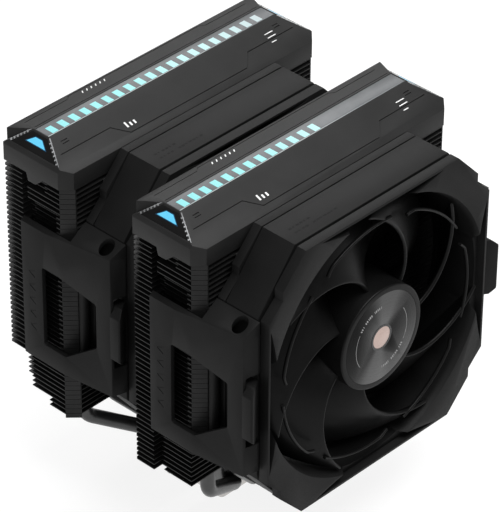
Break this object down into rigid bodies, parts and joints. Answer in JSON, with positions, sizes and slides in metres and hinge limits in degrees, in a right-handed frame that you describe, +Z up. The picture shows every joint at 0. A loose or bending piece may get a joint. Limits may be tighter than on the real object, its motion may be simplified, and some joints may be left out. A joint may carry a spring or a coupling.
{
  "type": "cpu tower cooler",
  "caption": "Twin-tower processor heatsink with U-shaped heat pipes, two clip-on axial fans and lit top covers, held down by two sprung screws.",
  "frame": {"origin": "centre of the cold plate contact face", "axes": "+Z up, away from the processor; -Y towards the front fan; +X along the fans and fins"},
  "size_m": [0.14, 0.1312, 0.16],
  "materials": {
    "badge_copper": "rose copper, polished",
    "bar_steel": "satin powder coat",
    "bearing_brass": "sintered",
    "blade_plastic": "satin moulded",
    "block_metal": "bead-blasted",
    "board_resin": "solder mask",
    "bracket_plastic": "fine grain",
    "cover_plastic": "fine spark-eroded grain",
    "disc_metal": "spun circular brushing",
    "fin_metal": "grey coated sheet",
    "frame_plastic": "fine grain",
    "lens_plastic": "lit translucent",
    "light_plastic": "milky light guide",
    "magnet_ferrite": "bonded ferrite",
    "pad_rubber": "matt",
    "panel_plastic": "piano black",
    "pipe_metal": "nickel-plated copper, satin",
    "plate_metal": "nickel-plated copper, fine-milled",
    "ring_steel": "phosphated",
    "screw_steel": "zinc-plated",
    "shaft_steel": "ground",
    "spring_steel": "drawn wire",
    "stator_steel": "laminated core",
    "tab_plastic": "fine grain"
  },
  "bodies": {
    "root": {"bar_screws": "screw_steel", "base_block": "block_metal", "cold_plate": "plate_metal", "front_end_lenses": "lens_plastic", "front_end_panels": "panel_plastic", "front_fan_frame": "frame_plastic", "front_fan_pads": "pad_rubber", "front_fin_stack": "fin_metal", "front_light_board": "board_resin", "front_light_diffuser": "light_plastic", "front_motor_bearing": "bearing_brass", "front_motor_board": "board_resin", "front_motor_stator": "stator_steel", "front_top_cover": "cover_plastic", "heat_pipe_1": "pipe_metal", "heat_pipe_2": "pipe_metal", "heat_pipe_3": "pipe_metal", "heat_pipe_4": "pipe_metal", "heat_pipe_5": "pipe_metal", "heat_pipe_6": "pipe_metal", "heat_pipe_7": "pipe_metal", "left_coil_spring": "spring_steel", "middle_fan_frame": "frame_plastic", "middle_fan_pads": "pad_rubber", "middle_motor_bearing": "bearing_brass", "middle_motor_board": "board_resin", "middle_motor_stator": "stator_steel", "mounting_bar": "bar_steel", "rear_end_lenses": "lens_plastic", "rear_end_panels": "panel_plastic", "rear_fin_stack": "fin_metal", "rear_light_board": "board_resin", "rear_light_diffuser": "light_plastic", "rear_top_cover": "cover_plastic", "right_coil_spring": "spring_steel"},
    "front_rotor": {"front_fan_rotor": "blade_plastic", "front_hub_disc": "disc_metal", "front_hub_badge": "badge_copper", "front_motor_shaft": "shaft_steel", "front_motor_magnet": "magnet_ferrite"},
    "front_left_clip": {"front_left_bracket": "bracket_plastic", "front_left_clip_tab": "tab_plastic"},
    "front_right_clip": {"front_right_bracket": "bracket_plastic", "front_right_clip_tab": "tab_plastic"},
    "middle_rotor": {"middle_fan_rotor": "blade_plastic", "middle_hub_disc": "disc_metal", "middle_hub_badge": "badge_copper", "middle_motor_shaft": "shaft_steel", "middle_motor_magnet": "magnet_ferrite"},
    "middle_left_clip": {"middle_left_bracket": "bracket_plastic", "middle_left_clip_tab": "tab_plastic"},
    "middle_right_clip": {"middle_right_bracket": "bracket_plastic", "middle_right_clip_tab": "tab_plastic"},
    "left_screw": {"left_spring_screw": "screw_steel", "left_retaining_ring": "ring_steel"},
    "right_screw": {"right_spring_screw": "screw_steel", "right_retaining_ring": "ring_steel"}
  },
  "joints": [
    {"name": "front_fan_spin", "type": "hinge", "parent": "root", "child": "front_rotor", "pos_m": [0, -0.07875, 0.0945], "axis": [0, -1, 0], "continuous": true},
    {"name": "middle_fan_spin", "type": "hinge", "parent": "root", "child": "middle_rotor", "pos_m": [0, -0.01025, 0.0945], "axis": [0, -1, 0], "continuous": true},
    {"name": "front_left_clip_swing", "type": "hinge", "parent": "root", "child": "front_left_clip", "pos_m": [-0.0602, -0.074, 0.0945], "axis": [0, 0, 1], "range_deg": [0, 7], "stiffness_Nm_per_rad": 0.4},
    {"name": "front_right_clip_swing", "type": "hinge", "parent": "root", "child": "front_right_clip", "pos_m": [0.0602, -0.074, 0.0945], "axis": [0, 0, -1], "range_deg": [0, 7], "stiffness_Nm_per_rad": 0.4},
    {"name": "middle_left_clip_swing", "type": "hinge", "parent": "root", "child": "middle_left_clip", "pos_m": [-0.0602, -0.0055, 0.0945], "axis": [0, 0, 1], "range_deg": [0, 7], "stiffness_Nm_per_rad": 0.4},
    {"name": "middle_right_clip_swing", "type": "hinge", "parent": "root", "child": "middle_right_clip", "pos_m": [0.0602, -0.0055, 0.0945], "axis": [0, 0, -1], "range_deg": [0, 7], "stiffness_Nm_per_rad": 0.4},
    {"name": "left_screw_press", "type": "slide", "parent": "root", "child": "left_screw", "axis": [0, 0, -1], "range_m": [0, 0.004], "stiffness_N_per_m": 2000, "deforming": ["left_coil_spring"]},
    {"name": "right_screw_press", "type": "slide", "parent": "root", "child": "right_screw", "axis": [0, 0, -1], "range_m": [0, 0.004], "stiffness_N_per_m": 2000, "deforming": ["right_coil_spring"]}
  ]
}
